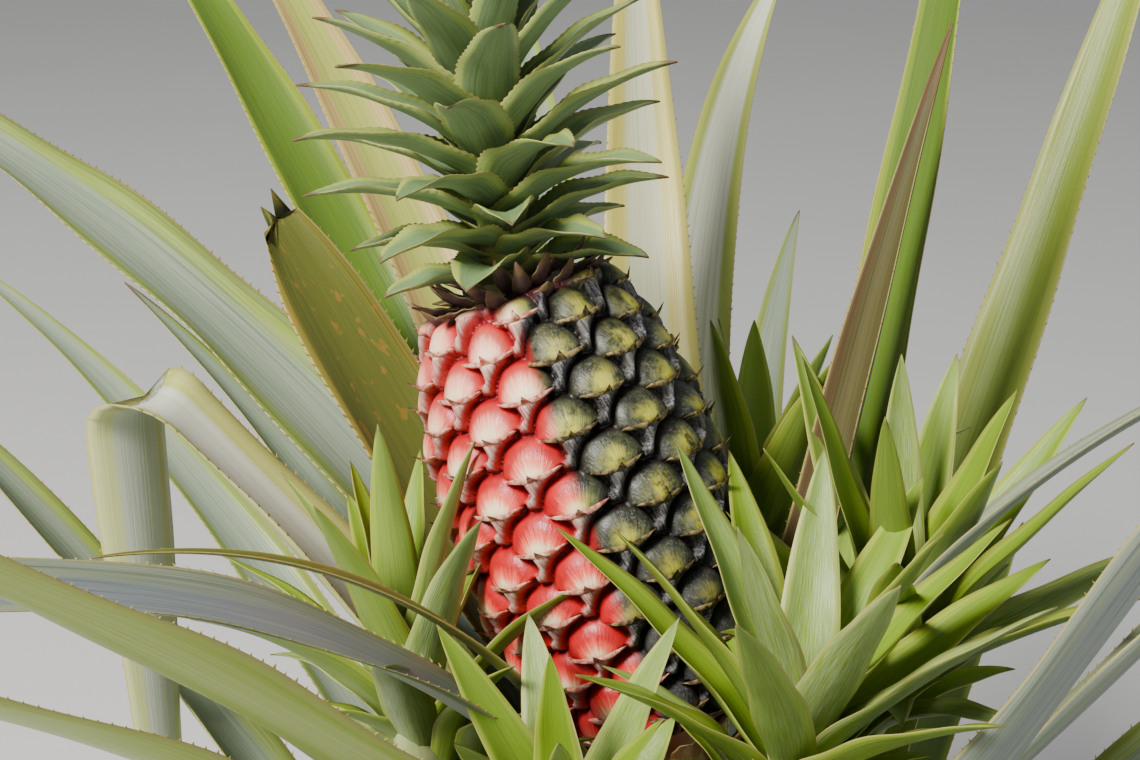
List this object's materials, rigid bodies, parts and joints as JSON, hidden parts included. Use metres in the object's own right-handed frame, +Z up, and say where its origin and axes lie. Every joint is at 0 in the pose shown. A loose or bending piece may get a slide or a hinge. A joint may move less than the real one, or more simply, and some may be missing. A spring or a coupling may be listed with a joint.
{
  "type": "pineapple plant",
  "caption": "Pineapple plant in fruit: a rosette of long channelled leaves round a stalk that carries a two-toned fruit with its leafy crown and side slips.",
  "frame": {"origin": "middle of the flat cut under the stem, at ground level", "axes": "+Z up along the stem, -Y towards the viewer, +X to the viewer's right; the fruit leans to -X and a little to +Y"},
  "size_m": [1.2995, 1.3711, 0.8599],
  "materials": {
    "leaf": "waxy green and silver-grey leaf",
    "slip": "fresh light green leaf",
    "crown": "bluish green leaf with a pale bloom",
    "fruit": "waxy rind of domed eyes",
    "stem": "fibrous, ringed with leaf scars",
    "stalk": "smooth fleshy stalk"
  },
  "bodies": {
    "root": {"stem": "stem", "fruit_stalk": "stalk", "fruit": "fruit", "leaf_01": "leaf", "leaf_02": "leaf", "leaf_03": "leaf", "leaf_04": "leaf", "leaf_05": "leaf", "leaf_06": "leaf", "leaf_07": "leaf", "leaf_08": "leaf", "leaf_09": "leaf", "leaf_10": "leaf", "leaf_11": "leaf", "leaf_12": "leaf", "leaf_13": "leaf", "leaf_14": "leaf", "leaf_15": "leaf", "leaf_16": "leaf", "leaf_17": "leaf", "leaf_18_rise": "leaf", "leaf_18_hang": "leaf", "leaf_19": "leaf", "leaf_20": "leaf", "leaf_21": "leaf", "leaf_22": "leaf", "leaf_23": "leaf", "leaf_24": "leaf", "leaf_25": "leaf", "leaf_26": "leaf", "leaf_27": "leaf", "leaf_28": "leaf", "leaf_29": "leaf", "leaf_30": "leaf", "leaf_31": "leaf", "leaf_32": "leaf", "leaf_33": "leaf", "leaf_34": "leaf", "leaf_35": "leaf", "leaf_36": "leaf", "leaf_37": "leaf", "leaf_38": "leaf", "leaf_39": "leaf", "leaf_40": "leaf", "leaf_41": "leaf", "leaf_42": "leaf", "crown": "crown", "slip_front_right": "slip", "slip_right": "slip", "slip_left": "slip", "slip_front_left": "slip", "slip_back": "slip"}
  },
  "joints": []
}
